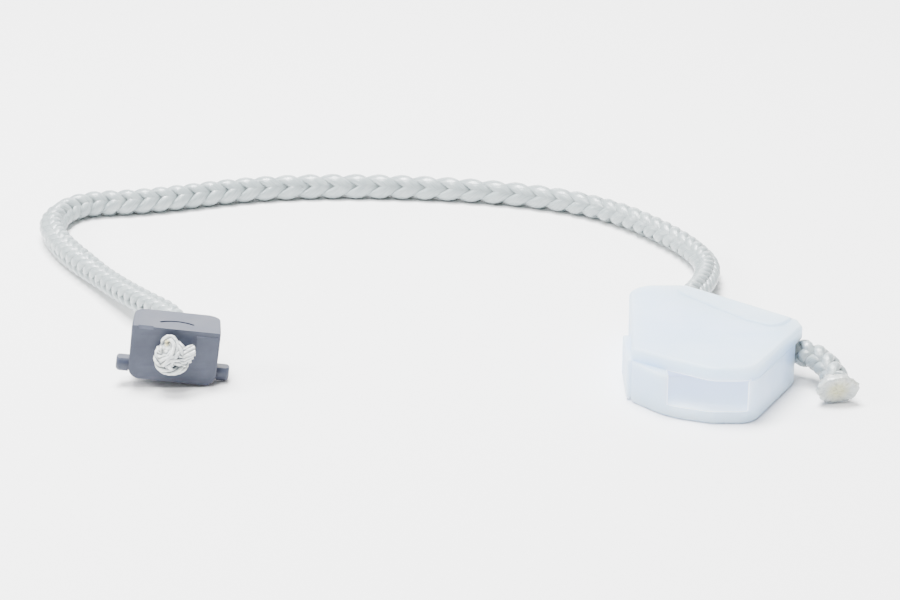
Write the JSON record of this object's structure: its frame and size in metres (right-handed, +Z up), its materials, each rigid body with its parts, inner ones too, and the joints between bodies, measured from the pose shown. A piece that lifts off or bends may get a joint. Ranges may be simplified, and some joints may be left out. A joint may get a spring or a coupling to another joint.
{
  "type": "pull cord assembly",
  "caption": "Plaited pull cord with a trunnion block knotted on one end and a slotted saddle block on the other, the cord turning inside it to a fused end.",
  "frame": {"origin": "on the table, midway between the two mouldings: the centre of the footprint of the anchor block and the saddle block together", "axes": "+X from the anchor block to the saddle block, +Y towards the back of the cord's loop, +Z up"},
  "size_m": [0.1522, 0.1237, 0.0118],
  "materials": {
    "grey_plastic": "moulded blue-grey plastic, fine satin",
    "natural_plastic": "moulded natural plastic, milky and slightly see-through",
    "plaited_cord": "white plaited synthetic filament, glossy strands",
    "fused_cord": "melted and set filament, slightly yellowed"
  },
  "bodies": {
    "saddle_and_cord": {"saddle_block": "natural_plastic", "cord_free": "plaited_cord", "cord_in_saddle": "plaited_cord", "cord_tail": "plaited_cord", "cord_sealed_end": "fused_cord"},
    "knotted_end": {"cord_in_anchor": "plaited_cord", "anchor_knot": "plaited_cord", "knot_cut_end": "fused_cord"},
    "anchor": {"anchor_block": "grey_plastic"}
  },
  "joints": [
    {"name": "cord_twist", "type": "hinge", "parent": "saddle_and_cord", "child": "knotted_end", "pos_m": [-0.0501, 0.0087, 0.00585], "axis": [-0.0672, 0.9977, 0], "range_deg": [-90, 90], "stiffness_Nm_per_rad": 0.002},
    {"name": "anchor_slide", "type": "slide", "parent": "knotted_end", "child": "anchor", "axis": [-0.0672, 0.9977, 0], "range_m": [0, 0.004]}
  ]
}
